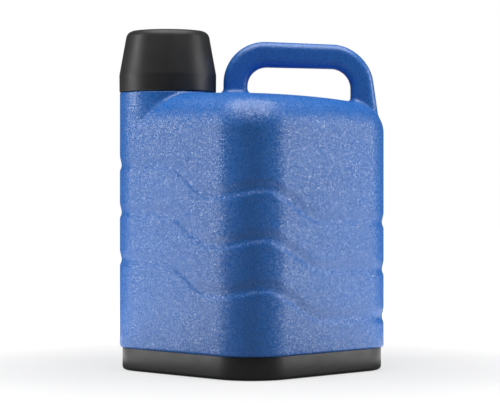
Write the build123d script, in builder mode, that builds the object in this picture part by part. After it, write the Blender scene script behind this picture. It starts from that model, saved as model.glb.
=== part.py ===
from build123d import *
import os

# Insulated water jug, millimetres, +Z up.
# Origin: centre of the foot on the surface the jug stands on.
# X runs along the handle: the neck is at -X, the far corner of the body at +X.

os.makedirs("parts", exist_ok=True)

# ---- body shell: a rounded square prism turned 45 degrees under a shallow dome ----
BODY_SIDE = 197.2
BODY_CORNER_R = 44.0
BODY_BOTTOM_Z = 20.7
BODY_RIM_R = 1.2
WALL = 3.0
DOME_R = 777.0
DOME_TOP_X = -20.0
DOME_TOP_Z = 253.0
SHOULDER_R = 26.0

# ---- neck ----
NECK_X = -77.2
NECK_R = 44.4
NECK_FOOT_Z = 203.0
COLLAR_Z = 253.5
MOUTH_R = 35.6

# ---- carrying handle, an upside-down U moulded in one with the shell ----
HANDLE_LEFT_X = -26.0
HANDLE_RIGHT_X = 106.7
HANDLE_RIGHT_FOOT_X = 117.0
HANDLE_LEFT_TOP_Z = 301.7
HANDLE_RIGHT_TOP_Z = 296.3
HANDLE_LEFT_R = 40.0
HANDLE_RIGHT_R = 32.0
HANDLE_FOOT_Z = 225.0
HANDLE_DEPTH = 26.0
HANDLE_EDGE_R = 7.0
GRIP_LEFT_X = -3.9
GRIP_RIGHT_X = 91.0
GRIP_LEFT_Z = 277.5
GRIP_RIGHT_Z = 275.3
GRIP_CORNER_R = 18.0

# ---- three wavy grooves round the shell ----
GROOVE_TOP_Z = 186.5
GROOVE_STEP_Z = 43.2
GROOVE_COUNT = 3
GROOVE_WIDTH = 12.0
GROOVE_BED_WIDTH = 5.0
GROOVE_LIP_DEPTH = 0.8
GROOVE_DEPTH = 1.5
GROOVE_SAMPLE_STEP = 11.5
# each bend of a groove: where it starts, how long it is, how far the groove rises
GROOVE_BENDS = ((-77.0, 40.0, -26.5), (-30.0, 40.0, 6.0), (12.0, 52.0, -29.0), (97.0, 25.0, -3.0))

# ---- base ----
BASE_SIDE = 192.4
BASE_CORNER_R = 41.6
BASE_FOOT_R = 5.5
BASE_FLOOR_Z = 4.0
BASE_RECESS = 1.5
FOOT_RING_WIDTH = 14.0
SPIGOT_SIDE = 190.8
SPIGOT_CORNER_R = 40.8
SPIGOT_WALL = 2.4
SPIGOT_TOP_Z = 32.0
FILL_HOLE_R = 12.0
FILL_PLUG_R = 11.9
FILL_PLUG_HEAD_R = 15.0
FILL_PLUG_BOTTOM_Z = 0.4
FILL_PLUG_LENGTH = 6.0
FILL_PLUG_TIP_CHAMFER = 1.0
FILL_PLUG_HEAD_FILLET = 0.6

# ---- inner tank ----
TANK_SIDE = 166.0
TANK_CORNER_R = 28.4
TANK_BOTTOM_Z = 22.0
TANK_WALL = 2.4
TANK_DOME_DROP = 17.0
TANK_EDGE_R = 13.0
TANK_NECK_R = 35.0
TANK_NECK_FOOT_R = 30.0
TANK_FLARE_Z = 185.0
TANK_FLARE_TOP_Z = 203.0
TANK_LIP_Z = 266.0
NECK_WELD_R = 46.0

# ---- ring seals and the ring that locks the neck ----
NECK_SEAL_R = 38.5
NECK_SEAL_HEIGHT = 2.0
LOCK_RING_R = 39.0
LOCK_RING_HEIGHT = 2.9
GASKET_R = 35.4
GASKET_BORE_R = 32.0
GASKET_HEIGHT = 1.4
CUP_SEAL_R = 40.0
CUP_SEAL_BORE_R = 36.0
CUP_SEAL_HEIGHT = 1.5
SEAL_GAP = 0.05

# ---- screw threads: rounded-off trapezoid ridges, right-handed ----
THREAD_ROOT_WIDTH = 1.8
THREAD_CREST_WIDTH = 0.9
THREAD_BITE = 0.4
CAP_LEAD = 8.0
CAP_STARTS = 2
CAP_TURNS = 0.8
CAP_THREAD_Z = 258.0
NECK_THREAD_R = 36.7
CAP_THREAD_R = 35.4
CUP_LEAD = 12.0
CUP_STARTS = 3
CUP_TURNS = 0.7
CUP_THREAD_Z = 258.6
CAP_OUTER_THREAD_R = 41.5
CUP_THREAD_R = 40.2

# ---- pouring cap ----
CAP_R = 39.8
CAP_BORE_R = 37.2
CAP_BOTTOM_Z = 257.0
CAP_EDGE_R = 1.0
DECK_Z = 267.5
DECK_TOP_Z = 270.0
STOPPER_R = 31.6
STOPPER_WALL = 1.6
STOPPER_EDGE_R = 1.2
STOPPER_BOTTOM_Z = 243.0
SPOUT_X = NECK_X - 13.0
SPOUT_R = 7.5
SPOUT_TUBE_R = 9.1
SPOUT_BOSS_R = 9.6
SPOUT_TOP_Z = 275.0

# ---- flip lid over the spout ----
HINGE_Z = 277.0
PIN_R = 1.25
PIN_BORE_R = 1.33
KNUCKLE_R = 3.0
KNUCKLE_HALF = 7.7
EAR_INNER_Y = 8.0
EAR_OUTER_Y = 11.0
LID_BOTTOM_Z = 275.6
LID_TOP_Z = 278.4
LID_R = 11.5
LID_EDGE_R = 0.8
LID_SEAL_R = 9.0
LID_PLUG_R = 6.9
LID_PLUG_TIP_R = 6.2
LID_PLUG_DEPTH = 2.7

# ---- drinking cup, closes the mouth as the outer cap ----
CUP_R = 44.5
CUP_BORE_R = 41.9
CUP_BOTTOM_Z = 254.0
CUP_BAND_TOP_Z = 272.3
CUP_SHOULDER_R = 42.9
CUP_SHOULDER_Z = 276.5
CUP_TOP_R = 37.9
CUP_TOP_Z = 310.0
CUP_TOP_EDGE_R = 6.0
CUP_ROOF_EDGE_R = 4.0
CUP_WALL = 2.3
CUP_ROOF = 2.6
CUP_RIB_R = 38.0
CUP_RIB_BOTTOM_Z = 271.6
CUP_RIB_TOP_Z = 273.4

# how far a cutting form runs past the face that it cuts
MARGIN = 5.0

UP = (Align.CENTER, Align.CENTER, Align.MIN)


def bend(t):
    """Smooth step from 0 to 1."""
    t = min(max(t, 0.0), 1.0)
    return t * t * (3.0 - 2.0 * t)


def groove_z(x):
    """Height of the top groove's centre line above the stand at x."""
    return GROOVE_TOP_Z + sum(rise * bend((x - start) / length) for start, length, rise in GROOVE_BENDS)


def rounded_block(side, corner_r, bottom_z, top_z):
    """Rounded square prism turned 45 degrees."""
    with BuildPart() as block:
        with BuildSketch(Plane.XY.offset(bottom_z)):
            RectangleRounded(side, side, corner_r, rotation=45)
        extrude(amount=top_z - bottom_z)
    return block.part


def handle_bar(inset):
    """The handle with every surface moved in by inset."""
    left_x = HANDLE_LEFT_X + inset
    right_x = HANDLE_RIGHT_X - inset
    foot_x = HANDLE_RIGHT_FOOT_X - inset
    outer_left = (left_x, HANDLE_LEFT_TOP_Z - inset)
    outer_right = (right_x, HANDLE_RIGHT_TOP_Z - inset)
    inner_left = (GRIP_LEFT_X - inset, GRIP_LEFT_Z + inset)
    inner_right = (GRIP_RIGHT_X + inset, GRIP_RIGHT_Z + inset)
    with BuildPart() as bar:
        with BuildSketch(Plane.XZ) as side:
            with BuildLine():
                Polyline(
                    (left_x, HANDLE_FOOT_Z),
                    outer_left,
                    outer_right,
                    (foot_x, HANDLE_FOOT_Z),
                    close=True,
                )
            make_face()
            fillet(side.vertices().sort_by_distance(outer_left)[0], HANDLE_LEFT_R - inset)
            fillet(side.vertices().sort_by_distance(outer_right)[0], HANDLE_RIGHT_R - inset)
        extrude(amount=HANDLE_DEPTH / 2 - inset, both=True)
        with BuildSketch(Plane.XZ) as opening:
            with BuildLine():
                Polyline(
                    (inner_left[0], HANDLE_FOOT_Z - MARGIN),
                    inner_left,
                    inner_right,
                    (inner_right[0], HANDLE_FOOT_Z - MARGIN),
                    close=True,
                )
            make_face()
            fillet(opening.vertices().sort_by(Axis.Y)[-2:], GRIP_CORNER_R + inset)
        extrude(amount=HANDLE_DEPTH, both=True, mode=Mode.SUBTRACT)
        fillet(bar.faces().filter_by(Axis.Y).edges(), HANDLE_EDGE_R - inset)
    return bar.part


def jug_form(inset, bottom_z):
    """Solid inside the shell's outer surface moved in by inset: body, neck and handle."""
    block = rounded_block(BODY_SIDE - 2 * inset, BODY_CORNER_R - inset, bottom_z, DOME_TOP_Z + MARGIN)
    bar = handle_bar(inset)
    with BuildPart() as form:
        add(block)
        with Locations((DOME_TOP_X, 0, DOME_TOP_Z - DOME_R)):
            Sphere(DOME_R - inset, rotation=(90, 0, 0), mode=Mode.INTERSECT)
        fillet(form.faces().filter_by(GeomType.SPHERE).edges(), SHOULDER_R - inset)
        with Locations((NECK_X, 0, NECK_FOOT_Z)):
            Cylinder(NECK_R - inset, COLLAR_Z - inset - NECK_FOOT_Z, align=UP)
        add(bar)
    return form.part


def tank_form(inset, top_z):
    """Solid inside the tank's outer surface moved in by inset, up to top_z in its neck."""
    block = rounded_block(
        TANK_SIDE - 2 * inset, TANK_CORNER_R - inset, TANK_BOTTOM_Z + inset, DOME_TOP_Z + MARGIN
    )
    with BuildPart() as form:
        add(block)
        with Locations((DOME_TOP_X, 0, DOME_TOP_Z - DOME_R)):
            Sphere(DOME_R - TANK_DOME_DROP - inset, rotation=(90, 0, 0), mode=Mode.INTERSECT)
        fillet(form.faces().filter_by(GeomType.SPHERE).edges(), TANK_EDGE_R - inset)
        fillet(form.edges().group_by(Axis.Z)[0], TANK_EDGE_R - inset)
        with Locations((NECK_X, 0, TANK_FLARE_Z + inset)):
            Cone(
                TANK_NECK_FOOT_R - inset,
                TANK_NECK_R - inset,
                TANK_FLARE_TOP_Z - TANK_FLARE_Z,
                align=UP,
            )
        with Locations((NECK_X, 0, TANK_FLARE_TOP_Z + inset)):
            Cylinder(TANK_NECK_R - inset, top_z - TANK_FLARE_TOP_Z - inset, align=UP)
    return form.part


def groove_cutter(width, depth, drop):
    """Band following the wavy line, as deep as asked below the faces of the body."""
    core = rounded_block(BODY_SIDE - 2 * depth, BODY_CORNER_R - depth, 0.0, DOME_TOP_Z)
    samples = [x * GROOVE_SAMPLE_STEP for x in range(-11, 12)]
    with BuildPart() as cutter:
        with BuildSketch(Plane.XZ):
            with BuildLine():
                upper = Spline(*[(x, groove_z(x) - drop + width / 2) for x in samples])
                lower = Spline(*[(x, groove_z(x) - drop - width / 2) for x in samples])
                Line(upper @ 0, lower @ 0)
                Line(upper @ 1, lower @ 1)
            make_face()
        extrude(amount=BODY_SIDE, both=True)
        add(core, mode=Mode.SUBTRACT)
    return cutter.part


def thread_ridge(root_r, crest_r, start_z, lead, turns, start_angle):
    """One ridge of a screw thread, its foot sunk a little into the wall it grows from."""
    outward = 1 if crest_r > root_r else -1
    height = abs(crest_r - root_r)
    path = Helix(lead, lead * turns, root_r, center=(0, 0, start_z), mode=Mode.PRIVATE)
    start = Plane(origin=path @ 0, x_dir=(outward, 0, 0), z_dir=path % 0)
    with BuildPart() as ridge:
        with BuildSketch(start):
            with BuildLine():
                Polyline(
                    (-THREAD_BITE, -THREAD_ROOT_WIDTH / 2),
                    (height, -THREAD_CREST_WIDTH / 2),
                    (height, THREAD_CREST_WIDTH / 2),
                    (-THREAD_BITE, THREAD_ROOT_WIDTH / 2),
                    close=True,
                )
            make_face()
        sweep(path=path, is_frenet=True)
    return Pos(NECK_X, 0, 0) * Rot(0, 0, start_angle) * ridge.part


def thread(root_r, crest_r, start_z, lead, turns, starts, shift):
    """All the ridges of a thread; shift turns them by a part of their spacing."""
    spacing = 360.0 / starts
    return [
        thread_ridge(root_r, crest_r, start_z, lead, turns, (n + shift) * spacing) for n in range(starts)
    ]


def neck_ring(outer_r, inner_r, bottom_z, height):
    """Plain ring on the neck's axis."""
    with BuildPart() as ring:
        with BuildSketch(Plane.XY.offset(bottom_z)):
            with Locations((NECK_X, 0)):
                Circle(outer_r)
                Circle(inner_r, mode=Mode.SUBTRACT)
        extrude(amount=height)
    return ring


# ---- outer shell ----
shell_outside = jug_form(0.0, BODY_BOTTOM_Z)
shell_inside = jug_form(WALL, BODY_BOTTOM_Z - MARGIN)
groove_cutters = []
for groove in range(GROOVE_COUNT):
    groove_cutters.append(groove_cutter(GROOVE_WIDTH, GROOVE_LIP_DEPTH, groove * GROOVE_STEP_Z))
    groove_cutters.append(groove_cutter(GROOVE_BED_WIDTH, GROOVE_DEPTH, groove * GROOVE_STEP_Z))

with BuildPart() as outer_shell:
    add(shell_outside)
    fillet(outer_shell.edges().group_by(Axis.Z)[0], BODY_RIM_R)
    add(shell_inside, mode=Mode.SUBTRACT)
    with Locations((NECK_X, 0, COLLAR_Z - 2 * WALL)):
        Cylinder(MOUTH_R, 3 * WALL, align=UP, mode=Mode.SUBTRACT)
    add(groove_cutters, mode=Mode.SUBTRACT)
outer_shell.part.label = "outer_shell"
export_step(outer_shell.part, "parts/outer_shell.step")

# ---- base cover ----
with BuildPart() as base_cover:
    with BuildSketch():
        RectangleRounded(BASE_SIDE, BASE_SIDE, BASE_CORNER_R, rotation=45)
    extrude(amount=BODY_BOTTOM_Z)
    fillet(base_cover.edges().group_by(Axis.Z)[0], BASE_FOOT_R)
    with BuildSketch(Plane.XY.offset(BODY_BOTTOM_Z)):
        RectangleRounded(SPIGOT_SIDE, SPIGOT_SIDE, SPIGOT_CORNER_R, rotation=45)
    extrude(amount=SPIGOT_TOP_Z - BODY_BOTTOM_Z)
    cavity_side = SPIGOT_SIDE - 2 * SPIGOT_WALL
    cavity_r = SPIGOT_CORNER_R - SPIGOT_WALL
    with BuildSketch(Plane.XY.offset(BASE_FLOOR_Z)):
        RectangleRounded(cavity_side, cavity_side, cavity_r, rotation=45)
    extrude(amount=SPIGOT_TOP_Z, mode=Mode.SUBTRACT)
    recess_side = BASE_SIDE - 2 * (BASE_FOOT_R + FOOT_RING_WIDTH)
    with BuildSketch():
        RectangleRounded(recess_side, recess_side, BASE_CORNER_R - FOOT_RING_WIDTH, rotation=45)
    extrude(amount=BASE_RECESS, mode=Mode.SUBTRACT)
    with BuildSketch():
        Circle(FILL_HOLE_R)
    extrude(amount=2 * BASE_FLOOR_Z, mode=Mode.SUBTRACT)
base_cover.part.label = "base_cover"
export_step(base_cover.part, "parts/base_cover.step")

# ---- plug of the foam filling hole ----
with BuildPart() as foam_plug:
    with BuildSketch(Plane.XY.offset(FILL_PLUG_BOTTOM_Z)):
        Circle(FILL_PLUG_HEAD_R)
    extrude(amount=BASE_RECESS - FILL_PLUG_BOTTOM_Z)
    with BuildSketch(Plane.XY.offset(BASE_RECESS)):
        Circle(FILL_PLUG_R)
    extrude(amount=FILL_PLUG_LENGTH)
    chamfer(foam_plug.edges().group_by(Axis.Z)[-1], FILL_PLUG_TIP_CHAMFER)
    fillet(foam_plug.edges().group_by(Axis.Z)[0], FILL_PLUG_HEAD_FILLET)
foam_plug.part.label = "foam_plug"
export_step(foam_plug.part, "parts/foam_plug.step")

# ---- inner tank, with a round hole at its top where the neck piece is welded in ----
tank_outside = tank_form(0.0, TANK_LIP_Z)
tank_inside = tank_form(TANK_WALL, TANK_LIP_Z + MARGIN)

with BuildPart() as neck_zone:
    with Locations((NECK_X, 0, TANK_FLARE_TOP_Z)):
        Cylinder(NECK_WELD_R, TANK_LIP_Z - TANK_FLARE_TOP_Z + MARGIN, align=UP)

with BuildPart() as inner_tank:
    add(tank_outside)
    add(tank_inside, mode=Mode.SUBTRACT)
    add(neck_zone.part, mode=Mode.SUBTRACT)
inner_tank.part.label = "inner_tank"
export_step(inner_tank.part, "parts/inner_tank.step")

# ---- neck piece of the tank: threaded neck with a skirt that fills the hole ----
neck_thread = thread(TANK_NECK_R, NECK_THREAD_R, CAP_THREAD_Z, CAP_LEAD, CAP_TURNS, CAP_STARTS, 0.0)

with BuildPart() as tank_neck:
    add(tank_outside)
    add(tank_inside, mode=Mode.SUBTRACT)
    add(neck_zone.part, mode=Mode.INTERSECT)
    add(neck_thread)
tank_neck.part.label = "tank_neck"
export_step(tank_neck.part, "parts/tank_neck.step")

# ---- seal and lock ring that hold the tank's neck in the shell ----
neck_seal = neck_ring(NECK_SEAL_R, TANK_NECK_R, COLLAR_Z - WALL - NECK_SEAL_HEIGHT, NECK_SEAL_HEIGHT)
neck_seal.part.label = "neck_seal"
export_step(neck_seal.part, "parts/neck_seal.step")

neck_lock_ring = neck_ring(LOCK_RING_R, TANK_NECK_R, COLLAR_Z, LOCK_RING_HEIGHT)
neck_lock_ring.part.label = "neck_lock_ring"
export_step(neck_lock_ring.part, "parts/neck_lock_ring.step")

# ---- foam between shell and tank, runs up into the handle ----
foam_body = jug_form(WALL, SPIGOT_TOP_Z)
foam_foot = rounded_block(cavity_side, cavity_r, BASE_FLOOR_Z, SPIGOT_TOP_Z)

with BuildPart() as foam_insulation:
    add(foam_body)
    add(foam_foot)
    add(tank_outside, mode=Mode.SUBTRACT)
    add(neck_seal.part, mode=Mode.SUBTRACT)
    add(foam_plug.part, mode=Mode.SUBTRACT)
foam_insulation.part.label = "foam_insulation"
export_step(foam_insulation.part, "parts/foam_insulation.step")

# ---- pouring cap ----
cap_thread = thread(CAP_BORE_R, CAP_THREAD_R, CAP_THREAD_Z, CAP_LEAD, CAP_TURNS, CAP_STARTS, 0.5)
cap_outer_thread = thread(CAP_R, CAP_OUTER_THREAD_R, CUP_THREAD_Z, CUP_LEAD, CUP_TURNS, CUP_STARTS, 0.0)

with BuildPart() as pour_cap:
    with BuildSketch(Plane.XY.offset(CAP_BOTTOM_Z)):
        with Locations((NECK_X, 0)):
            Circle(CAP_R)
    extrude(amount=DECK_TOP_Z - CAP_BOTTOM_Z)
    fillet(pour_cap.edges().group_by(Axis.Z)[-1], CAP_EDGE_R)
    with BuildSketch(Plane.XY.offset(CAP_BOTTOM_Z)):
        with Locations((NECK_X, 0)):
            Circle(CAP_BORE_R)
    extrude(amount=DECK_Z - CAP_BOTTOM_Z, mode=Mode.SUBTRACT)
    with BuildSketch(Plane.XY.offset(DECK_Z)):
        with Locations((SPOUT_X, 0)):
            Circle(SPOUT_BOSS_R)
    extrude(amount=SPOUT_TOP_Z - DECK_Z)
    for side in (-1, 1):
        with BuildSketch(Plane.XZ.offset(side * (EAR_INNER_Y + EAR_OUTER_Y) / 2)):
            with Locations((NECK_X, HINGE_Z)):
                Circle(KNUCKLE_R)
            with Locations((NECK_X, (DECK_Z + HINGE_Z) / 2)):
                Rectangle(2 * KNUCKLE_R, HINGE_Z - DECK_Z)
        extrude(amount=(EAR_OUTER_Y - EAR_INNER_Y) / 2, both=True)
    with BuildSketch(Plane.XY.offset(CAP_BOTTOM_Z)):
        with Locations((SPOUT_X, 0)):
            Circle(SPOUT_R)
    extrude(amount=SPOUT_TOP_Z, mode=Mode.SUBTRACT)
    with BuildSketch(Plane.XZ):
        with Locations((NECK_X, HINGE_Z)):
            Circle(PIN_R)
    extrude(amount=2 * EAR_OUTER_Y, both=True, mode=Mode.SUBTRACT)
    add(cap_thread)
    add(cap_outer_thread)
pour_cap.part.label = "pour_cap"
export_step(pour_cap.part, "parts/pour_cap.step")

# ---- gasket under the pouring cap ----
pour_cap_gasket = neck_ring(GASKET_R, GASKET_BORE_R, TANK_LIP_Z + SEAL_GAP, GASKET_HEIGHT)
pour_cap_gasket.part.label = "pour_cap_gasket"
export_step(pour_cap_gasket.part, "parts/pour_cap_gasket.step")

# ---- stopper under the pouring cap, hollow, with the pouring channel through it ----
with BuildPart() as stopper_plug:
    with BuildSketch(Plane.XY.offset(STOPPER_BOTTOM_Z)):
        with Locations((NECK_X, 0)):
            Circle(STOPPER_R)
    extrude(amount=DECK_Z - STOPPER_BOTTOM_Z)
    fillet(stopper_plug.edges().group_by(Axis.Z)[0], STOPPER_EDGE_R)
    with BuildSketch(Plane.XY.offset(STOPPER_BOTTOM_Z + STOPPER_WALL)):
        with Locations((NECK_X, 0)):
            Circle(STOPPER_R - STOPPER_WALL)
        with Locations((SPOUT_X, 0)):
            Circle(SPOUT_TUBE_R, mode=Mode.SUBTRACT)
    extrude(amount=DECK_Z - STOPPER_BOTTOM_Z, mode=Mode.SUBTRACT)
    with BuildSketch(Plane.XY.offset(STOPPER_BOTTOM_Z)):
        with Locations((SPOUT_X, 0)):
            Circle(SPOUT_R)
    extrude(amount=DECK_Z - STOPPER_BOTTOM_Z, mode=Mode.SUBTRACT)
stopper_plug.part.label = "stopper_plug"
export_step(stopper_plug.part, "parts/stopper_plug.step")

with BuildPart() as stopper_foam:
    with BuildSketch(Plane.XY.offset(STOPPER_BOTTOM_Z + STOPPER_WALL)):
        with Locations((NECK_X, 0)):
            Circle(STOPPER_R - STOPPER_WALL)
        with Locations((SPOUT_X, 0)):
            Circle(SPOUT_TUBE_R, mode=Mode.SUBTRACT)
    extrude(amount=DECK_Z - STOPPER_BOTTOM_Z - STOPPER_WALL)
stopper_foam.part.label = "stopper_foam"
export_step(stopper_foam.part, "parts/stopper_foam.step")

# ---- flip lid over the spout, its pin and its seal ----
with BuildPart() as spout_lid_pin:
    with BuildSketch(Plane.XZ):
        with Locations((NECK_X, HINGE_Z)):
            Circle(PIN_R)
    extrude(amount=EAR_OUTER_Y, both=True)
spout_lid_pin.part.label = "spout_lid_pin"
export_step(spout_lid_pin.part, "parts/spout_lid_pin.step")

with BuildPart() as spout_lid:
    with BuildSketch(Plane.XY.offset(LID_BOTTOM_Z)):
        with Locations((SPOUT_X, 0)):
            Circle(LID_R)
        with Locations(((SPOUT_X + NECK_X) / 2, 0)):
            Rectangle(NECK_X - SPOUT_X, 2 * KNUCKLE_HALF)
    extrude(amount=LID_TOP_Z - LID_BOTTOM_Z)
    fillet(spout_lid.edges().group_by(Axis.Z)[-1], LID_EDGE_R)
    with BuildSketch(Plane.XZ):
        with Locations((NECK_X, HINGE_Z)):
            Circle(KNUCKLE_R)
    extrude(amount=KNUCKLE_HALF, both=True)
    with BuildSketch(Plane.XZ):
        with Locations((NECK_X, HINGE_Z)):
            Circle(PIN_BORE_R)
    extrude(amount=2 * KNUCKLE_HALF, both=True, mode=Mode.SUBTRACT)
spout_lid.part.label = "spout_lid"
export_step(spout_lid.part, "parts/spout_lid.step")

with BuildPart() as spout_lid_seal:
    with BuildSketch(Plane.XY.offset(SPOUT_TOP_Z + SEAL_GAP)):
        with Locations((SPOUT_X, 0)):
            Circle(LID_SEAL_R)
    extrude(amount=LID_BOTTOM_Z - SPOUT_TOP_Z - SEAL_GAP)
    with Locations((SPOUT_X, 0, SPOUT_TOP_Z - LID_PLUG_DEPTH)):
        Cone(LID_PLUG_TIP_R, LID_PLUG_R, LID_PLUG_DEPTH + 4 * SEAL_GAP, align=UP)
spout_lid_seal.part.label = "spout_lid_seal"
export_step(spout_lid_seal.part, "parts/spout_lid_seal.step")

# ---- cup ----
cup_seal = neck_ring(CUP_SEAL_R, CUP_SEAL_BORE_R, DECK_TOP_Z + SEAL_GAP, CUP_SEAL_HEIGHT)
cup_seal.part.label = "cup_seal"
export_step(cup_seal.part, "parts/cup_seal.step")

cup_thread = thread(CUP_BORE_R, CUP_THREAD_R, CUP_THREAD_Z, CUP_LEAD, CUP_TURNS, CUP_STARTS, 0.5)
cup_axis = Axis((NECK_X, 0, 0), (0, 0, 1))

with BuildPart() as cup_cap:
    with BuildSketch(Plane.XZ) as outside:
        with BuildLine():
            Polyline(
                (NECK_X, CUP_BOTTOM_Z),
                (NECK_X + CUP_R, CUP_BOTTOM_Z),
                (NECK_X + CUP_R, CUP_BAND_TOP_Z),
                (NECK_X + CUP_SHOULDER_R, CUP_SHOULDER_Z),
                (NECK_X + CUP_TOP_R, CUP_TOP_Z),
                (NECK_X, CUP_TOP_Z),
                close=True,
            )
        make_face()
        top_corner = outside.vertices().sort_by_distance((NECK_X + CUP_TOP_R, CUP_TOP_Z))[0]
        fillet(top_corner, CUP_TOP_EDGE_R)
    revolve(axis=cup_axis)
    with BuildSketch(Plane.XZ) as inside:
        with BuildLine():
            Polyline(
                (NECK_X, CUP_BOTTOM_Z - MARGIN),
                (NECK_X + CUP_BORE_R, CUP_BOTTOM_Z - MARGIN),
                (NECK_X + CUP_BORE_R, CUP_RIB_BOTTOM_Z),
                (NECK_X + CUP_RIB_R, CUP_RIB_BOTTOM_Z),
                (NECK_X + CUP_RIB_R, CUP_RIB_TOP_Z),
                (NECK_X + CUP_SHOULDER_R - CUP_WALL, CUP_RIB_TOP_Z),
                (NECK_X + CUP_SHOULDER_R - CUP_WALL, CUP_SHOULDER_Z),
                (NECK_X + CUP_TOP_R - CUP_WALL, CUP_TOP_Z - CUP_ROOF),
                (NECK_X, CUP_TOP_Z - CUP_ROOF),
                close=True,
            )
        make_face()
        roof_corner = (NECK_X + CUP_TOP_R - CUP_WALL, CUP_TOP_Z - CUP_ROOF)
        fillet(inside.vertices().sort_by_distance(roof_corner)[0], CUP_ROOF_EDGE_R)
    revolve(axis=cup_axis, mode=Mode.SUBTRACT)
    add(cup_thread)
cup_cap.part.label = "cup_cap"
export_step(cup_cap.part, "parts/cup_cap.step")
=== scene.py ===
import math

import bpy
import numpy as np
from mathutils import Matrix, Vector


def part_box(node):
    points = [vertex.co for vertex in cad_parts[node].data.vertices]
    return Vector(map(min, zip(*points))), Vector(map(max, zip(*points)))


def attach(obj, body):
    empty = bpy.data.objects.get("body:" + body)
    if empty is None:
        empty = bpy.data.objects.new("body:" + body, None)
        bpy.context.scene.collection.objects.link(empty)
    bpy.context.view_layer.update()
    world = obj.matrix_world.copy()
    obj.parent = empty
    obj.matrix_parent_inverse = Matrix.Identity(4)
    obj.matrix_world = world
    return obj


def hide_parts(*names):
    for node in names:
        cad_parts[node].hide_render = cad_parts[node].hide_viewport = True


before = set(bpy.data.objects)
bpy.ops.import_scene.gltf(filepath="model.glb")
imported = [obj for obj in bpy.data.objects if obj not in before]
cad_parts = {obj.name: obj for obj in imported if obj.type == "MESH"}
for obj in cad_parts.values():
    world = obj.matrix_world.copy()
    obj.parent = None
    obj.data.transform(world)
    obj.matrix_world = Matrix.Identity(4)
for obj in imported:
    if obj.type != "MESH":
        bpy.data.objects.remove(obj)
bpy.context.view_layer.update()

# Metres, in the row frame: +Z up, the neck at -X, the handle in the XZ plane, the camera on the -Y side.
MM = 0.001


def middle(node):
    """Centre of a CAD node's box."""
    low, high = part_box(node)
    return (low + high) / 2


# ---- sizes taken from the frame ----
NECK_X = middle("neck_lock_ring").x
COLLAR_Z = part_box("neck_lock_ring")[0].z
SHELL_BOTTOM_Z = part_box("outer_shell")[0].z
SHELL_TOP_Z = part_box("outer_shell")[1].z
CORNER_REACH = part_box("outer_shell")[1].x
BASE_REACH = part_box("base_cover")[1].x
SPIGOT_TOP_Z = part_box("base_cover")[1].z
PLUG_HEAD_R = (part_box("foam_plug")[1].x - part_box("foam_plug")[0].x) / 2
CUP_LOW, CUP_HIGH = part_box("cup_cap")
CUP_R = (CUP_HIGH.x - CUP_LOW.x) / 2

# ---- shell ----
CORNER_R = 44.0 * MM
HALF_SIDE = (CORNER_REACH + (math.sqrt(2) - 1) * CORNER_R) / math.sqrt(2)
NECK_FOOT_Z = 212.0 * MM
MOUTH_R = 35.6 * MM
MOUTH_BOTTOM_Z = 232.0 * MM
DOME_R = 777.0 * MM
DOME_TOP_X = -20.0 * MM
DOME_TOP_Z = 253.0 * MM
SHOULDER_R = 26.5 * MM
SHOULDER_TAPER = 0.0305
SHELL_FOOT_R = 1.6 * MM
COLLAR_EDGE_R = 0.8 * MM
CREASE_R = 3.4 * MM
CREASE_START = 9.0 * MM
CREASE_END = 3.0 * MM

# ---- handle ----
BAR_HALF_DEPTH = 13.0 * MM
BAR_EDGE_R = 7.0 * MM
BAR_LEFT_X = -26.0 * MM
BAR_FOOT_Z = 214.0 * MM
BAR_MIDDLE_X = 15.0 * MM
BAR_TOP_Z = 300.0 * MM
BAR_TOP_SLOPE = -0.0407
BAR_TOP_LEFT_R = 40.0 * MM
BAR_TOP_RIGHT_R = 32.0 * MM
BAR_RIGHT_FOOT_X = 117.0 * MM
BAR_RIGHT_FOOT_Z = 225.0 * MM
BAR_RIGHT_SLOPE = 0.1445
GRIP_LEFT_X = -3.9 * MM
GRIP_RIGHT_X = 91.0 * MM
GRIP_TOP_Z = 277.1 * MM
GRIP_TOP_SLOPE = -0.023
GRIP_CORNER_R = 18.0 * MM
LEG_FILLET_R = 4.5 * MM
LEG_OUTER_FILLET_R = 1.6 * MM
OUTER_LEG_X = 96.0 * MM
OUTER_LEG_LENGTH = 14.0 * MM

# ---- grooves: where each bend starts, its length, and how far the groove rises in it ----
GROOVE_TOP_Z = 186.5 * MM
GROOVE_STEP_Z = 43.2 * MM
GROOVE_COUNT = 3
GROOVE_DEPTH = 1.6 * MM
GROOVE_SHALLOW = 0.82
GROOVE_FADE_X = 66.0 * MM
GROOVE_FADE_LENGTH = 44.0 * MM
GROOVE_SIDE_X = 104.0 * MM
GROOVE_SIDE_LENGTH = 14.0 * MM
GROOVE_UPPER = 10.0 * MM
GROOVE_LOWER = 5.6 * MM
GROOVE_BENDS = (
    (-77.0 * MM, 40.0 * MM, -26.5 * MM),
    (-30.0 * MM, 40.0 * MM, 6.0 * MM),
    (12.0 * MM, 52.0 * MM, -29.0 * MM),
    (97.0 * MM, 25.0 * MM, -3.0 * MM),
)
GROOVE_SLANT = 0.5
SLOPE_STEP = 0.5 * MM

# ---- cup: ..._IN is how far in from the cup's outside, ..._UP how far up from its rim ----
CUP_WALL = 2.6 * MM
CUP_RIM_IN = 0.1 * MM
CUP_RIM_INNER_R = 0.6 * MM
CUP_RIM_OUTER_R = 0.7 * MM
CUP_BAND_UP = 15.6 * MM
CUP_BAND_R = 8.0 * MM
CUP_TOP_IN = 7.3 * MM
CUP_TOP_R = 7.2 * MM
CUP_FLAT_IN = 16.0 * MM
CUP_DISC_R = 8.0 * MM
CUP_CEILING_IN = 9.6 * MM
CUP_CEILING_R = 3.6 * MM
CUP_SIDE_IN = 3.9 * MM
CUP_SIDE_UP = 22.5 * MM
CUP_SIDE_R = 3.0 * MM
CUP_LEDGE_IN = 6.5 * MM
CUP_LEDGE_LOW_UP = 17.6 * MM
CUP_LEDGE_HIGH_UP = 19.4 * MM
CUP_LEDGE_R = 0.5 * MM

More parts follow.
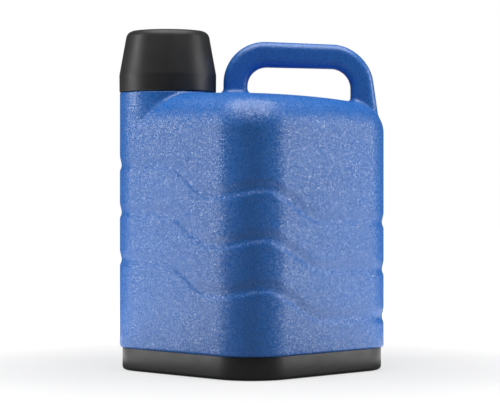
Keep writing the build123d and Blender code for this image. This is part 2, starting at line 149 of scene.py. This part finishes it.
# ---- thread inside the cup ----
CUP_THREAD_STARTS = 3
CUP_THREAD_TURNS = 0.7
CUP_THREAD_LEAD = 12.0 * MM
CUP_THREAD_UP = 4.6 * MM
CUP_THREAD_CREST_IN = 4.3 * MM
THREAD_SUNK = 0.5 * MM
THREAD_ROOT_HALF = 0.9 * MM
THREAD_CREST_HALF = 0.45 * MM
THREAD_RUN_OUT = 0.08
THREAD_LEAST_CREST = 0.05
THREAD_STEPS = 48

# ---- base ----
BASE_CORNER_R = 41.6 * MM
BASE_LEAST_CORNER_R = 6.0 * MM
BASE_FOOT_R = 3.2 * MM
BASE_RING_IN = 19.5 * MM
BASE_RING_HEIGHT = 1.5 * MM
BASE_RING_R = 0.7 * MM
BASE_EDGE_R = 0.5 * MM
SPIGOT_IN = 0.8 * MM
SPIGOT_INNER_IN = 3.2 * MM
BASE_FLOOR_Z = 4.0 * MM
BASE_FLOOR_R = 1.5 * MM
BASE_FLOOR_IN = 40.0 * MM
FOAM_HOLE_LIP = 3.0 * MM

# ---- meshing ----
SHELL_CELL = 1.3 * MM
PROJECT_STEPS = 3
PROJECT_PROBE = 0.02 * MM
PROJECT_LEAST_SLOPE = 0.25
ROUND_STEPS = 96
FLAT_STEPS = 8
ARC_STEPS = 6


# ---------------------------------------------------------------- shapes as distances


def smooth(t):
    """Smooth step from 0 to 1."""
    t = np.clip(t, 0.0, 1.0)
    return t * t * (3.0 - 2.0 * t)


def meet(a, b, r):
    """Distance to the space inside both a and b, their edge rounded to r."""
    return np.minimum(np.maximum(a, b), -r) + np.hypot(np.maximum(a + r, 0.0), np.maximum(b + r, 0.0))


def join(a, b, r):
    """Distance to the space inside a or b, with a fillet of radius r between them."""
    return np.maximum(np.minimum(a, b), r) - np.hypot(np.maximum(r - a, 0.0), np.maximum(r - b, 0.0))


def wall_distance(x, y):
    """Distance to the rounded square plan, turned 45 degrees."""
    u = np.abs(x + y) / math.sqrt(2) - (HALF_SIDE - CORNER_R)
    v = np.abs(x - y) / math.sqrt(2) - (HALF_SIDE - CORNER_R)
    return np.minimum(np.maximum(u, v), 0.0) + np.hypot(np.maximum(u, 0.0), np.maximum(v, 0.0)) - CORNER_R


def groove_line(x):
    """Height of the top groove's deepest line."""
    z = GROOVE_TOP_Z + 0.0 * x
    for start, length, rise in GROOVE_BENDS:
        z = z + rise * smooth((x - start) / length)
    return z


def groove_depth(x, z):
    """How far the wall is set in by the grooves: a long slope in from above, a short one out below.

    They are deepest on the front, back and side corners, shallow on the flats.
    """
    line = groove_line(x)
    slope = (groove_line(x + SLOPE_STEP) - groove_line(x - SLOPE_STEP)) / (2 * SLOPE_STEP)
    across = 1.0 / np.sqrt(1.0 + GROOVE_SLANT * slope * slope)
    front = smooth((GROOVE_FADE_X - np.abs(x)) / GROOVE_FADE_LENGTH)
    side = smooth((np.abs(x) - GROOVE_SIDE_X) / GROOVE_SIDE_LENGTH)
    deepest = GROOVE_DEPTH * (GROOVE_SHALLOW + (1.0 - GROOVE_SHALLOW) * np.maximum(front, side))
    depth = 0.0 * x
    for n in range(GROOVE_COUNT):
        above = (z - line + n * GROOVE_STEP_Z) * across
        depth = depth + np.minimum(smooth(1.0 - above / GROOVE_UPPER), smooth(1.0 + above / GROOVE_LOWER))
    return depth * deepest


def handle_distance(x, y, z):
    """Distance to the handle: an upside-down U with rounded long edges."""
    left = BAR_LEFT_X - x
    top = z - BAR_TOP_Z - BAR_TOP_SLOPE * (x - BAR_MIDDLE_X)
    right = x - BAR_RIGHT_FOOT_X + BAR_RIGHT_SLOPE * (z - BAR_RIGHT_FOOT_Z)
    outline = np.maximum(meet(left, top, BAR_TOP_LEFT_R), meet(top, right, BAR_TOP_RIGHT_R))
    roof = z - GRIP_TOP_Z - GRIP_TOP_SLOPE * (x - BAR_MIDDLE_X)
    opening = np.maximum(
        meet(GRIP_LEFT_X - x, roof, GRIP_CORNER_R), meet(x - GRIP_RIGHT_X, roof, GRIP_CORNER_R)
    )
    side = np.maximum(outline, -opening)
    return np.maximum(meet(side, np.abs(y) - BAR_HALF_DEPTH, BAR_EDGE_R), BAR_FOOT_Z - z)


def shell_distance(x, y, z):
    """Distance to the outside of the shell: body, neck, handle and the mouth's bore."""
    wall = wall_distance(x, y)
    dome = np.sqrt((x - DOME_TOP_X) ** 2 + y * y + (z - DOME_TOP_Z + DOME_R) ** 2) - DOME_R
    body = meet(wall + groove_depth(x, z), dome, SHOULDER_R - SHOULDER_TAPER * x)
    from_neck = np.hypot(x - NECK_X, y)
    neck = meet(from_neck - CORNER_R, z - COLLAR_Z, COLLAR_EDGE_R)
    neck = np.maximum(neck, NECK_FOOT_Z - z)
    crease = CREASE_R * smooth(-wall / CREASE_START) * smooth((COLLAR_Z - z) / CREASE_END)
    shell = join(body, neck, crease)
    outer_leg = smooth((x - OUTER_LEG_X) / OUTER_LEG_LENGTH)
    fillet = LEG_FILLET_R + (LEG_OUTER_FILLET_R - LEG_FILLET_R) * outer_leg
    shell = join(shell, handle_distance(x, y, z), fillet)
    shell = meet(shell, SHELL_BOTTOM_Z - z, SHELL_FOOT_R)
    bore = np.maximum(from_neck - MOUTH_R, MOUTH_BOTTOM_Z - z)
    return meet(shell, -bore, COLLAR_EDGE_R)


def net_surface(distance, low, high, cell):
    """Vertices and quads of the surface where distance is 0, one vertex to each cell that it crosses."""
    axes = [np.arange(a, b + cell, cell) for a, b in zip(low, high)]
    x, y = np.meshgrid(axes[0], axes[1], indexing="ij")
    field = np.stack([distance(x, y, np.full_like(x, z)) for z in axes[2]], axis=2)
    inside = field < 0
    cells = tuple(n - 1 for n in field.shape)
    corners = [(i, j, k) for i in (0, 1) for j in (0, 1) for k in (0, 1)]

    def at(grid, c):
        return grid[c[0] : c[0] + cells[0], c[1] : c[1] + cells[1], c[2] : c[2] + cells[2]]

    count = sum(at(inside, c).astype(np.int8) for c in corners)
    where = np.nonzero((count > 0) & (count < 8))
    index = np.full(cells, -1, np.int64)
    index[where] = np.arange(len(where[0]))
    values = {c: at(field, c)[where] for c in corners}
    total = np.zeros((len(where[0]), 3))
    found = np.zeros(len(where[0]))
    for c in corners:
        for axis in range(3):
            if c[axis] == 0:
                d = tuple(v + (n == axis) for n, v in enumerate(c))
                crossed = (values[c] < 0) != (values[d] < 0)
                gap = np.where(crossed, values[c] - values[d], 1.0)
                point = np.tile(np.array(c, float), (len(crossed), 1))
                point[:, axis] += values[c] / gap
                total += point * crossed[:, None]
                found += crossed
    verts = (np.stack(where, 1) + total / found[:, None]) * cell + np.array(low)
    quads = []
    for axis in range(3):
        b, c = (axis + 1) % 3, (axis + 2) % 3
        first = np.moveaxis(np.moveaxis(inside, axis, 0)[:-1], 0, axis)
        second = np.moveaxis(np.moveaxis(inside, axis, 0)[1:], 0, axis)
        edge = np.argwhere(first != second)
        quad = []
        for db, dc in ((-1, -1), (0, -1), (0, 0), (-1, 0)):
            at_cell = edge.copy()
            at_cell[:, b] += db
            at_cell[:, c] += dc
            quad.append(index[tuple(at_cell.T)])
        quad = np.stack(quad, 1)
        inward = ~first[tuple(edge.T)]
        quad[inward] = quad[inward][:, ::-1]
        quads.append(quad)
    for _ in range(PROJECT_STEPS):
        value = distance(*verts.T)
        probes = [PROJECT_PROBE * axis for axis in np.eye(3)]
        rise = [distance(*(verts + probe).T) - distance(*(verts - probe).T) for probe in probes]
        slope = np.stack([r / (2 * PROJECT_PROBE) for r in rise], 1)
        step = (value / np.maximum((slope**2).sum(1), PROJECT_LEAST_SLOPE))[:, None] * slope
        verts = verts - np.clip(step, -cell / 2, cell / 2)
    return verts, np.concatenate(quads)


# ---------------------------------------------------------------- meshes


def new_mesh(name, verts, faces, body, material):
    """Smooth-shaded object made from vertices and faces, riding on a body."""
    mesh = bpy.data.meshes.new(name)
    mesh.from_pydata([tuple(v) for v in verts], [], [tuple(int(i) for i in f) for f in faces])
    mesh.validate()
    mesh.polygons.foreach_set("use_smooth", [True] * len(mesh.polygons))
    mesh.materials.append(material)
    mesh.update()
    piece = bpy.data.objects.new(name, mesh)
    bpy.context.scene.collection.objects.link(piece)
    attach(piece, body)
    return piece


def rounded_outline(points):
    """Outline through points (a, b, radius), closed or open, with an arc of its radius at each corner."""
    made = []
    for n, (a, b, r) in enumerate(points):
        here = np.array((a, b))
        if r == 0:
            made.append(here)
            continue
        before = np.array(points[n - 1][:2]) - here
        after = np.array(points[(n + 1) % len(points)][:2]) - here
        before /= np.linalg.norm(before)
        after /= np.linalg.norm(after)
        half = math.acos(np.clip(before @ after, -1, 1)) / 2
        centre = here + (before + after) / np.linalg.norm(before + after) * r / math.sin(half)
        start = here + before * r / math.tan(half) - centre
        end = here + after * r / math.tan(half) - centre
        turn = math.atan2(start[0] * end[1] - start[1] * end[0], start @ end)
        for k in range(ARC_STEPS + 1):
            t = turn * k / ARC_STEPS
            c, s = math.cos(t), math.sin(t)
            made.append(centre + np.array((c * start[0] - s * start[1], s * start[0] + c * start[1])))
    return np.array(made)


def bridge(loops, around, closed):
    """Quads between rings of vertices that follow one another."""
    faces = []
    last = loops if closed else loops - 1
    for n in range(last):
        m = (n + 1) % loops
        for k in range(around):
            j = (k + 1) % around
            faces.append((n * around + k, n * around + j, m * around + j, m * around + k))
    return faces


def lathe(name, outline, axis_x, body, material):
    """Piece turned about a vertical axis; the outline is (r, z), and flat discs close both its ends."""
    angles = np.arange(ROUND_STEPS) * 2 * math.pi / ROUND_STEPS
    rings = [
        np.stack([axis_x + r * np.cos(angles), r * np.sin(angles), np.full(ROUND_STEPS, z)], 1)
        for r, z in outline
    ]
    last = (len(rings) - 1) * ROUND_STEPS
    faces = bridge(len(rings), ROUND_STEPS, False)
    faces += [tuple(range(ROUND_STEPS))[::-1], tuple(range(last, last + ROUND_STEPS))]
    return new_mesh(name, np.concatenate(rings), faces, body, material)


def cup_outline():
    """Cross-section of the cup, from the middle of its ceiling to the rim and up to the middle of its top."""
    rim, top, r = CUP_LOW.z, CUP_HIGH.z, CUP_R
    ceiling = top - CUP_WALL
    return rounded_outline(
        [
            (CUP_DISC_R, ceiling, 0),
            (r - CUP_FLAT_IN, ceiling, 0),
            (r - CUP_CEILING_IN, ceiling, CUP_CEILING_R),
            (r - CUP_SIDE_IN, rim + CUP_SIDE_UP, CUP_SIDE_R),
            (r - CUP_SIDE_IN, rim + CUP_LEDGE_HIGH_UP, CUP_LEDGE_R),
            (r - CUP_LEDGE_IN, rim + CUP_LEDGE_HIGH_UP, CUP_LEDGE_R),
            (r - CUP_LEDGE_IN, rim + CUP_LEDGE_LOW_UP, CUP_LEDGE_R),
            (r - CUP_WALL, rim + CUP_LEDGE_LOW_UP, CUP_LEDGE_R),
            (r - CUP_WALL, rim, CUP_RIM_INNER_R),
            (r - CUP_RIM_IN, rim, CUP_RIM_OUTER_R),
            (r, rim + CUP_BAND_UP, CUP_BAND_R),
            (r - CUP_TOP_IN, top, CUP_TOP_R),
            (r - CUP_FLAT_IN, top, 0),
            (CUP_DISC_R, top, 0),
        ]
    )


def helix_ridge(name, root_r, crest_r, start_z, start_angle, body, material):
    """One thread ridge inside the cup: a tapered trapezoid swept up the bore, its foot sunk in the wall."""
    rings = []
    for n in range(THREAD_STEPS + 1):
        along = n / THREAD_STEPS
        grow = float(smooth(min(along, 1 - along) / THREAD_RUN_OUT))
        crest = root_r + (crest_r - root_r) * max(grow, THREAD_LEAST_CREST)
        angle = start_angle + 2 * math.pi * CUP_THREAD_TURNS * along
        z = start_z + CUP_THREAD_LEAD * CUP_THREAD_TURNS * along
        section = (
            (root_r + THREAD_SUNK, -THREAD_ROOT_HALF),
            (crest, -THREAD_CREST_HALF),
            (crest, THREAD_CREST_HALF),
            (root_r + THREAD_SUNK, THREAD_ROOT_HALF),
        )
        for r, dz in section:
            rings.append((NECK_X + r * math.cos(angle), r * math.sin(angle), z + dz))
    end = 4 * THREAD_STEPS
    faces = bridge(THREAD_STEPS + 1, 4, False) + [(3, 2, 1, 0), (end, end + 1, end + 2, end + 3)]
    return new_mesh(name, rings, faces, body, material)


def square_ring(half, corner, z):
    """One ring of vertices on a rounded square turned 45 degrees, as far round as ROUND_STEPS allows."""
    arc = ROUND_STEPS // 4 - FLAT_STEPS
    points = []
    for n in range(4):
        turn = math.radians(90 * n)
        reach = (half - corner) * math.sqrt(2)
        centre = np.array((math.cos(turn), math.sin(turn))) * reach
        for k in range(arc + 1):
            a = turn - math.pi / 4 + math.pi / 2 * k / arc
            points.append(centre + corner * np.array((math.cos(a), math.sin(a))))
        end = points[-1]
        turn += math.pi / 2
        centre = np.array((math.cos(turn), math.sin(turn))) * reach
        start = centre + corner * np.array((math.cos(turn - math.pi / 4), math.sin(turn - math.pi / 4)))
        for k in range(1, FLAT_STEPS):
            points.append(end + (start - end) * k / FLAT_STEPS)
    flat = np.array(points)
    return np.concatenate([flat, np.full((len(flat), 1), z)], 1)


def circle_ring(r, z):
    """Ring of vertices on a circle, at the angles of a square ring's vertices."""
    flat = square_ring(HALF_SIDE, CORNER_R, z)
    flat[:, :2] *= r / np.linalg.norm(flat[:, :2], axis=1)[:, None]
    return flat


def make_base(material):
    """Black base: foot ring, rounded foot, wall, spigot, floor and the foam filling hole."""
    half = (BASE_REACH + (math.sqrt(2) - 1) * BASE_CORNER_R) / math.sqrt(2)
    section = rounded_outline(
        [
            (half - BASE_RING_IN, BASE_RING_HEIGHT, BASE_RING_R),
            (half - BASE_RING_IN, 0.0, BASE_RING_R),
            (half, 0.0, BASE_FOOT_R),
            (half, SHELL_BOTTOM_Z, BASE_EDGE_R),
            (half - SPIGOT_IN, SHELL_BOTTOM_Z, 0),
            (half - SPIGOT_IN, SPIGOT_TOP_Z, BASE_EDGE_R),
            (half - SPIGOT_INNER_IN, SPIGOT_TOP_Z, BASE_EDGE_R),
            (half - SPIGOT_INNER_IN, BASE_FLOOR_Z, BASE_FLOOR_R),
            (half - BASE_FLOOR_IN, BASE_FLOOR_Z, 0),
            (half - BASE_FLOOR_IN, BASE_RING_HEIGHT, 0),
        ]
    )
    rings = [
        square_ring(h, max(BASE_CORNER_R - (half - h), BASE_LEAST_CORNER_R), z) for h, z in section
    ]
    hole = PLUG_HEAD_R - FOAM_HOLE_LIP
    rings[-1:-1] = [circle_ring(hole, BASE_FLOOR_Z), circle_ring(hole, BASE_RING_HEIGHT)]
    faces = bridge(len(rings), len(rings[0]), True)
    piece = new_mesh("base_moulding", np.concatenate(rings), faces, "jug", material)
    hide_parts("base_cover")


# ---------------------------------------------------------------- materials


class Nodes:
    """A material's node tree, with short ways to add to it."""

    def __init__(self, name):
        self.material = bpy.data.materials.new(name)
        self.material.use_nodes = True
        self.tree = self.material.node_tree
        self.shader = self.tree.nodes["Principled BSDF"]
        coords = self.tree.nodes.new("ShaderNodeTexCoord")
        self.place = coords.outputs["Object"]

    def add(self, kind, inputs=None, **settings):
        node = self.tree.nodes.new(kind)
        for key, value in settings.items():
            setattr(node, key, value)
        for key, value in (inputs or {}).items():
            if isinstance(value, bpy.types.NodeSocket):
                self.tree.links.new(value, node.inputs[key])
            else:
                node.inputs[key].default_value = value
        return node

    def set(self, name, value):
        if isinstance(value, bpy.types.NodeSocket):
            self.tree.links.new(value, self.shader.inputs[name])
        else:
            self.shader.inputs[name].default_value = value

    def noise(self, size, detail=2.0, roughness=0.5):
        """Noise whose features are about size metres across."""
        inputs = {"Vector": self.place, "Scale": 1.0 / size, "Detail": detail, "Roughness": roughness}
        return self.add("ShaderNodeTexNoise", inputs).outputs["Fac"]

    def cells(self, size, output):
        """Voronoi cells about size metres across."""
        return self.add("ShaderNodeTexVoronoi", {"Vector": self.place, "Scale": 1.0 / size}).outputs[output]

    def clouds(self, size, low, high, detail=2.0, roughness=0.5):
        """Soft patches about size metres across, from low to high."""
        return self.ramp(self.noise(size, detail, roughness), 0.3, 0.7, low, high)

    def ramp(self, value, low, high, out_low, out_high):
        """value from low..high to out_low..out_high, clamped."""
        inputs = {"Value": value, "From Min": low, "From Max": high, "To Min": out_low, "To Max": out_high}
        return self.add("ShaderNodeMapRange", inputs).outputs["Result"]

    def math(self, operation, a, b):
        return self.add("ShaderNodeMath", {0: a, 1: b}, operation=operation).outputs[0]

    def mix(self, factor, a, b):
        """Colour a where factor is 0, b where it is 1."""
        return self.add("ShaderNodeMix", {0: factor, 6: a, 7: b}, data_type="RGBA").outputs[2]

    def mix_values(self, factor, a, b):
        """Number a where factor is 0, b where it is 1."""
        return self.add("ShaderNodeMix", {0: factor, 2: a, 3: b}, data_type="FLOAT").outputs[0]

    def vector(self, operation, inputs):
        return self.add("ShaderNodeVectorMath", inputs, operation=operation).outputs[0]

    def facets(self, size, spread):
        """The surface's normal, leaning its own random way in every cell about size metres across."""
        lean = self.vector("SUBTRACT", {0: self.cells(size, "Color"), 1: (0.5, 0.5, 0.5)})
        lean = self.vector("SCALE", {0: lean, "Scale": spread})
        straight = self.add("ShaderNodeNewGeometry").outputs["Normal"]
        return self.vector("NORMALIZE", {0: self.vector("ADD", {0: straight, 1: lean})})

    def bump(self, height, distance, strength=1.0, normal=None):
        inputs = {"Height": height, "Distance": distance, "Strength": strength}
        if normal is not None:
            inputs["Normal"] = normal
        self.set("Normal", self.add("ShaderNodeBump", inputs).outputs["Normal"])


def colour(r, g, b):
    return (r, g, b, 1.0)


GRAIN_SIZE = 0.78 * MM
GRAIN_LEAN = 0.38
PEBBLE_SIZE = 1.5 * MM
SPECKLE_SIZE = 1.0 / 980.0
SMOOTH_FROM_Z = 236.0 * MM
SMOOTH_TO_Z = 252.0 * MM
SMOOTH_GRAIN = 0.52
SEAM_FROM_Z = 225.0 * MM
SEAM_TO_Z = 240.0 * MM
SEAM_HALF_WIDTHS = (0.2 * MM, 0.7 * MM)
SEAM_HEIGHT = 0.35
RELIEF = 0.05 * MM


def grained_blue():
    """Blow-moulded polyethylene: sandy walls, smoother shoulder and handle, a mould seam along the top."""
    n = Nodes("grained_blue")
    split = n.add("ShaderNodeSeparateXYZ", {"Vector": n.place})
    height = n.math("ADD", split.outputs["Z"], n.clouds(30 * MM, -2 * MM, 2 * MM))
    grainy = n.ramp(height, SMOOTH_FROM_Z, SMOOTH_TO_Z, 1.0, SMOOTH_GRAIN)
    pebbles = n.noise(PEBBLE_SIZE, 2.0, 0.6)
    grain = n.math("MULTIPLY", pebbles, grainy)
    from_seam = n.math("ABSOLUTE", split.outputs["Y"], 0.0)
    seam = n.ramp(from_seam, *SEAM_HALF_WIDTHS, SEAM_HEIGHT, 0.0)
    seam = n.math("MULTIPLY", seam, n.ramp(split.outputs["Z"], SEAM_FROM_Z, SEAM_TO_Z, 0.0, 1.0))
    sand = n.facets(GRAIN_SIZE, n.math("MULTIPLY", grainy, GRAIN_LEAN))
    n.bump(n.math("ADD", grain, seam), RELIEF, 0.9, sand)
    dark, light = colour(0.009, 0.143, 0.528), colour(0.012, 0.160, 0.580)
    base = n.mix(n.clouds(45 * MM, 0.0, 1.0, 4.0), dark, light)
    # Painted shade: the grain's hollows are darkened toward a deeper blue, less on the smoother shoulder and
    # handle.
    hollow_shade = n.math("MULTIPLY", n.ramp(pebbles, 0.35, 0.5, 0.25, 0.0), grainy)
    base = n.mix(hollow_shade, base, colour(0.014, 0.110, 0.43))
    scuffs = n.ramp(n.noise(6 * MM, 6.0, 0.7), 0.66, 0.80, 0.0, 0.10)
    n.set("Base Color", n.mix(scuffs, base, colour(0.25, 0.36, 0.66)))
    speckle = n.add("ShaderNodeSeparateColor", {"Color": n.cells(SPECKLE_SIZE, "Color")}).outputs["Red"]
    speckle_rough = n.ramp(speckle, 0.15, 0.85, 0.20, 0.58)
    plain_rough = n.clouds(10 * MM, 0.30, 0.36, 4.0)
    n.set("Roughness", n.mix_values(grainy, plain_rough, speckle_rough))
    n.set("Specular IOR Level", 1.0)
    return n.material


def satin_plastic(name, low, high, roughness, scuff=0.03, specular=0.45):
    """Injection-moulded plastic: faint cloudiness, spark-eroded fine grain, a few light scuffs."""
    n = Nodes(name)
    base = n.mix(n.clouds(35 * MM, 0.0, 1.0, 3.0), colour(*low), colour(*high))
    marks = n.ramp(n.noise(4 * MM, 8.0, 0.75), 0.68, 0.85, 0.0, 1.0)
    light = tuple(min(1.0, v + scuff) for v in high)
    n.set("Base Color", n.mix(marks, base, colour(*light)))
    n.set("Roughness", n.clouds(12 * MM, roughness - 0.04, roughness + 0.05, 5.0, 0.6))
    n.bump(n.noise(0.6 * MM, 3.0, 0.6), 0.05 * MM, 0.6)
    n.set("Specular IOR Level", specular)
    return n.material


def milky_plastic():
    """Natural food-grade polyethylene, a little translucent."""
    n = Nodes("milky_plastic")
    dark, light = colour(0.66, 0.69, 0.68), colour(0.74, 0.76, 0.75)
    n.set("Base Color", n.mix(n.clouds(30 * MM, 0.0, 1.0, 3.0), dark, light))
    n.set("Roughness", n.clouds(10 * MM, 0.30, 0.40, 4.0))
    n.set("Subsurface Weight", 0.15)
    n.set("Subsurface Scale", 4 * MM)
    n.bump(n.noise(1.2 * MM, 3.0), 0.05 * MM, 0.5)
    return n.material


def soft_rubber(name, low, high):
    """Matt silicone rubber with a bloom of dust in places."""
    n = Nodes(name)
    n.set("Base Color", n.mix(n.clouds(8 * MM, 0.0, 1.0, 4.0), colour(*low), colour(*high)))
    n.set("Roughness", n.clouds(3 * MM, 0.58, 0.72, 3.0))
    n.bump(n.noise(0.4 * MM, 3.0), 0.03 * MM, 0.5)
    return n.material


def rigid_foam():
    """Cut cellular foam, cream, with painted shade in its pores."""
    n = Nodes("rigid_foam")
    cells = n.cells(1.0 / 900.0, "Distance")
    # Painted shade: the pores, hollows in the bump below, are coloured a darker cream.
    pore_shade = n.ramp(cells, 0.1, 0.6, 1.0, 0.0)
    n.set("Base Color", n.mix(pore_shade, colour(0.74, 0.64, 0.36), colour(0.86, 0.79, 0.52)))
    n.set("Roughness", 0.9)
    n.bump(cells, 0.4 * MM, 0.8)
    return n.material


def drawn_wire():
    """Stainless wire with fine lines along it."""
    n = Nodes("drawn_wire")
    stretched = n.add("ShaderNodeMapping", {"Vector": n.place, "Scale": (4000.0, 60.0, 4000.0)}).outputs[0]
    lines = n.add("ShaderNodeTexNoise", {"Vector": stretched, "Scale": 1.0, "Detail": 3.0}).outputs["Fac"]
    n.set("Base Color", n.mix(lines, colour(0.50, 0.50, 0.49), colour(0.66, 0.66, 0.64)))
    n.set("Metallic", 1.0)
    n.set("Roughness", n.ramp(lines, 0.3, 0.7, 0.25, 0.40))
    n.bump(lines, 0.02 * MM, 0.5)
    return n.material


# ---------------------------------------------------------------- the object

blue = grained_blue()
base_black = satin_plastic(
    "base_black", low=(0.008, 0.008, 0.0085), high=(0.011, 0.011, 0.0115), roughness=0.38, specular=0.6
)
cup_black = satin_plastic(
    "cup_black", low=(0.018, 0.018, 0.0185), high=(0.023, 0.023, 0.0235), roughness=0.42, specular=0.5
)
dark_grey = satin_plastic(
    "dark_grey_plastic", low=(0.020, 0.020, 0.022), high=(0.027, 0.027, 0.029), roughness=0.42
)
smooth_blue = satin_plastic(
    "smooth_blue", low=(0.019, 0.150, 0.585), high=(0.023, 0.168, 0.640), roughness=0.34, scuff=0.05
)
milky = milky_plastic()
silicone = soft_rubber("pale_silicone", (0.62, 0.62, 0.60), (0.70, 0.70, 0.68))
foam = rigid_foam()
wire = drawn_wire()

CAD_FINISHES = {
    "foam_plug": base_black,
    "foam_insulation": foam,
    "inner_tank": milky,
    "tank_neck": milky,
    "neck_seal": silicone,
    "neck_lock_ring": dark_grey,
    "pour_cap_gasket": silicone,
    "pour_cap": dark_grey,
    "stopper_plug": milky,
    "stopper_foam": foam,
    "spout_lid_pin": wire,
    "spout_lid": smooth_blue,
    "spout_lid_seal": silicone,
    "cup_seal": silicone,
}
for node, material in CAD_FINISHES.items():
    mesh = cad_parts[node].data
    mesh.materials.clear()
    mesh.materials.append(material)

margin = 2 * SHELL_CELL
reach = CORNER_REACH + margin
shell_verts, shell_quads = net_surface(
    shell_distance,
    (-reach, -reach, SHELL_BOTTOM_Z - margin),
    (reach, reach, SHELL_TOP_Z + margin),
    SHELL_CELL,
)
shell = new_mesh("shell_moulding", shell_verts, shell_quads, "jug", blue)
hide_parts("outer_shell")

make_base(base_black)

cup = lathe("cup_moulding", cup_outline(), NECK_X, "cup", cup_black)
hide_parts("cup_cap")
thread_root_r = CUP_R - CUP_WALL
thread_crest_r = CUP_R - CUP_THREAD_CREST_IN
thread_z = CUP_LOW.z + CUP_THREAD_UP
for n in range(CUP_THREAD_STARTS):
    start_angle = (n + 0.5) * 2 * math.pi / CUP_THREAD_STARTS
    ridge = f"cup_thread_{n + 1}"
    helix_ridge(ridge, thread_root_r, thread_crest_r, thread_z, start_angle, "cup", cup_black)


# ---------------------------------------------------------------- studio

CAMERA_DISTANCE = 1.785
EYE_HEIGHT = 0.167
VIEW_WIDTH = 0.460
SENSOR_WIDTH = 36.0
VIEW_SHIFT_X = -0.0035
VIEW_SHIFT_Y = -0.037

camera_data = bpy.data.cameras.new("camera")
camera_data.sensor_width = SENSOR_WIDTH
camera_data.lens = SENSOR_WIDTH * CAMERA_DISTANCE / VIEW_WIDTH
camera_data.shift_x = VIEW_SHIFT_X
camera_data.shift_y = VIEW_SHIFT_Y
camera = bpy.data.objects.new("camera", camera_data)
camera.location = (0.0, -CAMERA_DISTANCE, EYE_HEIGHT)
camera.rotation_euler = (math.pi / 2, 0.0, 0.0)
bpy.context.scene.collection.objects.link(camera)
bpy.context.scene.camera = camera


def softbox(name, place, aim, width, height, radiance):
    """Rectangular studio light that faces a point."""
    light = bpy.data.lights.new(name, "AREA")
    light.shape = "RECTANGLE"
    light.size = width
    light.size_y = height
    light.energy = radiance * math.pi * width * height
    lamp = bpy.data.objects.new(name, light)
    lamp.visible_camera = False
    lamp.location = place
    lamp.rotation_euler = (Vector(aim) - Vector(place)).to_track_quat("-Z", "Y").to_euler()
    bpy.context.scene.collection.objects.link(lamp)


# Tall softboxes at both sides, low ones facing up from the floor, one overhead. Places and sizes in metres.
SIDE_X, SIDE_Y, SIDE_Z = 1.30, -0.04, 0.25
SIDE_AIM_Z = 0.15
SIDE_SIZE = (0.32, 1.5)
SIDE_RADIANCE = 5.8
LOW_X, LOW_Y, LOW_Z = 0.70, 0.01, 0.004
LOW_SIZE = (1.12, 0.46)
LOW_RADIANCE = 1.5
TOP_Y, TOP_Z = -0.30, 1.5
TOP_SIZE = (1.7, 1.5)
TOP_RADIANCE = 3.2
AMBIENT = 0.09

for side, name in ((-1, "left"), (1, "right")):
    side_place = (side * SIDE_X, SIDE_Y, SIDE_Z)
    softbox(f"{name}_softbox", side_place, (0, SIDE_Y, SIDE_AIM_Z), *SIDE_SIZE, SIDE_RADIANCE)
    low_place = (side * LOW_X, LOW_Y, LOW_Z)
    softbox(f"{name}_low_light", low_place, (side * LOW_X, LOW_Y, 1.0), *LOW_SIZE, LOW_RADIANCE)
softbox("top_softbox", (0.0, TOP_Y, TOP_Z), (0, TOP_Y, 0.0), *TOP_SIZE, TOP_RADIANCE)


def seen_by_camera(tree):
    """1 for what the camera sees straight away, 0 for light on its way to other surfaces."""
    return tree.nodes.new("ShaderNodeLightPath").outputs["Is Camera Ray"]


# The floor glows for the camera only, with painted light that fades up to the white of the backdrop away from
# the jug; its place is a hair under the base, so that the two don't share a plane.
FLOOR_ALBEDO = 0.28
FLOOR_SIZE = 12.0
FLOOR_Z = -0.2 * MM
FADE = {"From Min": 0.16, "From Max": 0.60, "To Min": 0.62, "To Max": 1.0}

floor_material = bpy.data.materials.new("pale_floor")
floor_material.use_nodes = True
floor_tree = floor_material.node_tree
floor_shader = floor_tree.nodes["Principled BSDF"]
floor_shader.inputs["Base Color"].default_value = (FLOOR_ALBEDO, FLOOR_ALBEDO, FLOOR_ALBEDO, 1)
floor_shader.inputs["Roughness"].default_value = 0.9
floor_shader.inputs["Specular IOR Level"].default_value = 0.1
floor_shader.inputs["Emission Color"].default_value = (1, 1, 1, 1)
floor_place = floor_tree.nodes.new("ShaderNodeTexCoord")
floor_distance = floor_tree.nodes.new("ShaderNodeVectorMath")
floor_distance.operation = "LENGTH"
floor_tree.links.new(floor_place.outputs["Object"], floor_distance.inputs[0])
floor_fade = floor_tree.nodes.new("ShaderNodeMapRange")
floor_fade.interpolation_type = "SMOOTHSTEP"
for socket, value in FADE.items():
    floor_fade.inputs[socket].default_value = value
floor_tree.links.new(floor_distance.outputs["Value"], floor_fade.inputs["Value"])
floor_glow = floor_tree.nodes.new("ShaderNodeMath")
floor_glow.operation = "MULTIPLY"
floor_tree.links.new(floor_fade.outputs["Result"], floor_glow.inputs[0])
floor_tree.links.new(seen_by_camera(floor_tree), floor_glow.inputs[1])
floor_tree.links.new(floor_glow.outputs[0], floor_shader.inputs["Emission Strength"])

bpy.ops.mesh.primitive_plane_add(size=FLOOR_SIZE, location=(0, 0, FLOOR_Z))
floor = bpy.context.object
floor.name = "floor"
floor.data.materials.append(floor_material)

# The camera sees a white backdrop; as a light it is only faint.
world = bpy.data.worlds.new("studio")
bpy.context.scene.world = world
world.use_nodes = True
world_tree = world.node_tree
backdrop = world_tree.nodes["Background"]
backdrop.inputs["Color"].default_value = (1, 1, 1, 1)
backdrop_strength = world_tree.nodes.new("ShaderNodeMapRange")
backdrop_strength.inputs["To Min"].default_value = AMBIENT
backdrop_strength.inputs["To Max"].default_value = 1.0
world_tree.links.new(seen_by_camera(world_tree), backdrop_strength.inputs["Value"])
world_tree.links.new(backdrop_strength.outputs["Result"], backdrop.inputs["Strength"])

bpy.context.scene.view_settings.view_transform = "Standard"
